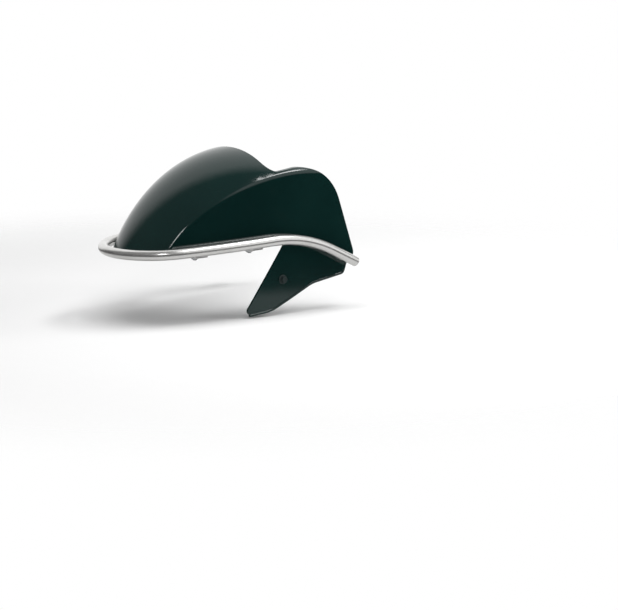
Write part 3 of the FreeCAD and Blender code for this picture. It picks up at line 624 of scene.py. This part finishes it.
def makeSkirtScrew(look):
    # Levels, and the radii at the shoulder and flange, are read from the node.
    place = fixings("skirt_screw")[0]
    shoulder, flange, hexagon, top = place["levels"][[1, -3, -2, -1]]
    points, edge = place["points"], look["edge"]
    near = [np.abs(points[:, 2] - level) < look["levelGap"] for level in (shoulder, flange)]
    pin, disc = [np.hypot(*points[ring, :2].T).max() for ring in near]
    neck = screwRows([(shoulder, pin - edge, 0.0), (shoulder + edge, pin, 0.0), (flange, pin, 0.0)])
    plate = screwRows([
        (flange, disc - edge, 0.0), (flange + edge, disc, 0.0), (flange + look["rim"], disc, 0.0),
        (hexagon + look["slopeRise"], look["flats"] * look["slopeShare"], 0.0)])
    thread = threadEnd(shoulder - look["relief"], look)
    body = turnedBody(thread + [neck, plate, hexHead(hexagon, top, look)])
    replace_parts(addPiece("skirtScrew", *stood(body, place), "dark_steel"), "skirt_screw")


makeSkirtScrew(skirtScrew)
print("fasteners threaded and chamfered")

# Rolled rim on the tongue's lower edge, along the outer cheek face.
# Corners are (forward, up) in the side view.
tongueRim = {
    "corners": ((0.001, -0.178), (-0.043, -0.173), (-0.112, -0.141), (-0.167, -0.133), (-0.178, -0.105)),
    "rounds": (0.060, 0.060, 0.006),
    "arcSteps": 16,
    "first": 0.008,
    "last": 0.009,
    "radius": 0.0018,
    "sunk": 0.0007,
    "blunt": 0.05,
    "rows": 150,
    "columns": 16,
    "cheek": {"radius": 1.000, "centre": -0.191, "halfWidth": 0.099, "draft": 2.5},
}


def roundedPath(corners, rounds, steps):
    # Straight runs joined by arcs.
    # An arc point is the arc's start plus radius times (sine along, one less cosine across).
    spots = np.array(corners)
    runs = [spots[:1]]
    for k, radius in enumerate(rounds, start=1):
        along, onward = unit(spots[k] - spots[k - 1]), unit(spots[k + 1] - spots[k])
        bend = math.acos(along @ onward)
        across = unit(onward - along * (along @ onward))
        start = spots[k] - along * radius * math.tan(bend / 2.0)
        turn = np.linspace(0.0, bend, steps)[:, None]
        runs.append(start + radius * (np.sin(turn) * along + (1.0 - np.cos(turn)) * across))
    path = np.concatenate(runs + [spots[-1:]])
    way = np.concatenate([[0.0], np.cumsum(np.linalg.norm(np.diff(path, axis=0), axis=1))])
    return way, path


def cheekFace(side, look):
    # The cheek is a cone: its plan radius grows with the drop by the tangent of the draft.
    slope = math.tan(math.radians(look["draft"]))
    reach = look["radius"] - side[:, 1] * slope
    plan = np.arcsin((side[:, 0] - look["centre"]) / reach)
    out = reach * np.cos(plan) - look["radius"] + look["halfWidth"]
    normal = np.stack([np.sin(plan), np.cos(plan), np.full(len(side), slope)], axis=-1)
    return np.stack([side[:, 0], out, side[:, 1]], axis=-1), unit(normal)


def makeTongueRim(look):
    # A tube along the path, sunk a little into the cheek.
    # Its radius falls as a quarter round at each end.
    way, path = roundedPath(look["corners"], look["rounds"], look["arcSteps"])
    even = np.linspace(look["first"], way[-1] - look["last"], look["rows"])
    side = np.stack([np.interp(even, way, path[:, 0]), np.interp(even, way, path[:, 1])], axis=-1)
    face, normal = cheekFace(side, look["cheek"])
    spots = face - normal * look["sunk"]
    ends = np.minimum(even - even[0], even[-1] - even) / look["radius"]
    short = 1.0 - np.clip(ends, look["blunt"], 1.0)
    radius = look["radius"] * np.sqrt(np.clip(1.0 - short ** 2, 0.0, 1.0))
    rings = tubeRings(spots, np.gradient(spots, axis=0), normal, radius, look["columns"])
    addPiece("tongueRim", *poledBody(rings, spots[[0, -1]]), "paint")


makeTongueRim(tongueRim)

# Weld rings where the rear bosses meet the bar: a saddle curve with a rippled bead.
bossWeld = {
    "boss": 0.006,
    "tube": 0.007,
    "bead": 0.0011,
    "ripples": 30,
    "ripple": 0.10,
    "rows": 180,
    "columns": 12,
    "smoothAngle": 60.0,
}


def weldBody(bolt, plug, look):
    # Heart is the point of the bar's axis nearest the bolt's axis. Rise points from it to the bolt.
    boltAxis, barAxis = bolt["lean"][:, 2], plug["lean"][:, 2]
    boltBase, barBase = bolt["lean"] @ bolt["base"], plug["lean"] @ plug["base"]
    sums = np.stack([boltAxis, -barAxis, np.cross(boltAxis, barAxis)], axis=1)
    heart = barBase + barAxis * np.linalg.solve(sums, barBase - boltBase)[1]
    toBolt = boltBase - heart
    rise = unit(toBolt - barAxis * (toBolt @ barAxis))
    # Round the boss, the bar lifts by the root of tube squared less the sideways part squared.
    turn = fullTurn(look["rows"])[:, None]
    around = np.cos(turn) * barAxis + np.sin(turn) * np.cross(rise, barAxis)
    lift = np.sqrt(look["tube"] ** 2 - (look["boss"] * np.sin(turn)) ** 2)
    path = heart + look["boss"] * around + lift * rise
    along = np.roll(path, -1, 0) - np.roll(path, 1, 0)
    bead = look["bead"] * (1.0 + look["ripple"] * np.cos(look["ripples"] * turn[:, 0]))
    return loopBody(tubeRings(path, along, unit(rise + around), bead, look["columns"]))


def makeBossWelds(look):
    pairs = zip(fixings("boss_bolts"), fixings("bar_end_plugs"))
    bodies = [weldBody(bolt, plug, look) for bolt, plug in pairs]
    addPiece("bossWelds", *joined(bodies), "chrome", look["smoothAngle"])


makeBossWelds(bossWeld)
print("rim and welds added")


def posed(at, right, back):
    # The place of a camera or lamp, from its right and backward directions.
    return Matrix.Translation(at) @ Matrix((right, back.cross(right), back)).transposed().to_4x4()


# Camera: the picture is 618 by 610. Its middle lies right of and above a mark below the fender.
cameraView = {
    "mark": (-0.042, 0.0, -0.288),
    "right": 0.1155,
    "up": 0.1078,
    "turn": 41.5,
    "rise": 10.6,
    "distance": 5.0,
    "pixel": 0.00140,
    "width": 618,
    "sensor": 36.0,
}


def makeCamera(look):
    turn, rise = math.radians(look["turn"]), math.radians(look["rise"])
    level = math.cos(rise)
    back = Vector((math.sin(turn) * level, math.cos(turn) * level, math.sin(rise)))
    right = Vector((-math.cos(turn), math.sin(turn), 0.0))
    target = Vector(look["mark"]) + right * look["right"] + back.cross(right) * look["up"]
    data = bpy.data.cameras.new("camera")
    data.sensor_width = look["sensor"]
    data.lens = look["distance"] / look["pixel"] * look["sensor"] / look["width"]
    item = bpy.data.objects.new("camera", data)
    bpy.context.scene.collection.objects.link(item)
    item.matrix_world = posed(target + back * look["distance"], right, back)
    bpy.context.scene.camera = item


makeCamera(cameraView)

# Surroundings: white to the camera, and a plain level of light on the fender.
# Gloss sees them bright on two sides and dim elsewhere, dimmest low down.
surround = {
    "light": 0.25,
    "brightSides": {
        "behind": {"way": (-0.463, -0.712, 0.528), "edge": (0.58, 0.84)},
        "rearLeft": {"way": (-0.527, 0.627, 0.574), "edge": (0.78, 0.93)},
    },
    "dimHeights": (0.10, 0.65),
    "dimLevels": (0.02, 0.15),
}


def makeWorld(look):
    world = bpy.data.worlds.new("studio")
    bpy.context.scene.world = world
    finish = Finish(world)
    glossy = finish.add("ShaderNodeLightPath", out="Is Glossy Ray")
    seen = finish.add("ShaderNodeLightPath", out="Is Camera Ray") + glossy
    seen = seen + finish.add("ShaderNodeLightPath", out="Is Transmission Ray")
    strength = finish.between(seen, 0.0, 1.0, look["light"], 1.0)
    way = finish.add("ShaderNodeTexCoord", out="Generated")
    dark = glossy
    for side in look["brightSides"].values():
        towards = finish.vector("DOT_PRODUCT", way, side["way"], "Value")
        dark = dark * (1.0 - finish.between(towards, *side["edge"]))
    height = finish.add("ShaderNodeSeparateXYZ", {}, {0: way}, "Z")
    dim = finish.between(height, *look["dimHeights"], *look["dimLevels"])
    level = strength * (1.0 - dark * (1.0 - dim))
    back = finish.add("ShaderNodeBackground", {}, {"Color": (1.0, 1.0, 1.0, 1.0), "Strength": level})
    finish.add("ShaderNodeOutputWorld", {}, {"Surface": back})


makeWorld(surround)

# Pale paper floor that fades into the surroundings and can't be seen from below.
# Gloss sees it greyer, and dark further out.
paperFloor = {
    "pale": (0.90, 0.90, 0.90, 1.0),
    "fleck": (0.86, 0.86, 0.86, 1.0),
    "grain": (40.0, 2.0),
    "grainShare": 0.1,
    "roughness": 0.9,
    "specular": 0.1,
    "drop": 0.002,
    "half": 4.0,
    "fade": (0.42, 0.95),
    "mirroredNear": (0.62, 0.62, 0.62, 1.0),
    "mirroredFar": (0.06, 0.06, 0.06, 1.0),
    "mirroredFade": (0.32, 0.50),
}


def makeFloor(look):
    half, level = look["half"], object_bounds()[0][2] - look["drop"]
    corners = [(-half, -half, level), (half, -half, level), (half, half, level), (-half, half, level)]
    mesh = bpy.data.meshes.new("floor")
    mesh.from_pydata(corners, [], [(0, 1, 2, 3)])
    floor = bpy.data.objects.new("floor", mesh)
    bpy.context.scene.collection.objects.link(floor)
    finish, place = newFinish("floorPaper")
    flat = finish.vector("MULTIPLY", place, (1.0, 1.0, 0.0))
    away = finish.vector("DISTANCE", flat, (0.0, 0.0, 0.0), "Value")
    grain = finish.noise(place, *look["grain"]) * look["grainShare"]
    paper = finish.blend(grain, look["pale"], look["fleck"])
    far = finish.between(away, *look["mirroredFade"])
    image = finish.blend(far, look["mirroredNear"], look["mirroredFar"])
    mirrored = finish.add("ShaderNodeLightPath", out="Is Glossy Ray")
    below = finish.add("ShaderNodeNewGeometry", out="Backfacing")
    mesh.materials.append(finish.surface({
        "Base Color": finish.blend(mirrored, paper, image),
        "Roughness": look["roughness"],
        "Specular IOR Level": look["specular"],
        "Alpha": (1.0 - below) * (1.0 - finish.between(away, *look["fade"])),
    }))
    floor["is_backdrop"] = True


makeFloor(paperFloor)

# Lamps all face one point. Two soft ones light the fender and don't show in its gloss.
# Two narrower ones show along the crease and the wing's top.
lampRig = {
    "aim": (-0.03, 0.0, -0.05),
    "lamps": {
        "overhead": {"at": (0.20, 0.05, 1.55), "along": (1, 0, 0),
                     "size": (1.6, 1.2), "power": 15.0, "mirrored": False},
        "side": {"at": (-1.60, 0.95, 0.70), "along": (1, 1, 0),
                 "size": (1.2, 1.0), "power": 13.0, "mirrored": False},
        "creaseLamp": {"at": (0.93, 1.21, 0.89), "along": (1, -0.7, 0),
                       "size": (0.30, 0.50), "power": 3.6, "mirrored": True},
        "wingStrip": {"at": (-0.70, 0.42, 1.34), "along": (-0.36, -0.26, -0.10),
                      "size": (0.92, 0.46), "power": 11.0, "mirrored": True},
    },
}


def makeLamps(look):
    for name, lamp in look["lamps"].items():
        data = bpy.data.lights.new(name, "AREA")
        data.shape = "ELLIPSE"
        data.size, data.size_y = lamp["size"]
        data.energy = lamp["power"]
        item = bpy.data.objects.new(name, data)
        bpy.context.scene.collection.objects.link(item)
        item.visible_glossy = lamp["mirrored"]
        at, along = Vector(lamp["at"]), Vector(lamp["along"])
        back = (at - Vector(look["aim"])).normalized()
        item.matrix_world = posed(at, (along - back * back.dot(along)).normalized(), back)


makeLamps(lampRig)
bpy.context.scene.view_settings.view_transform = "Standard"
print("studio and camera set")
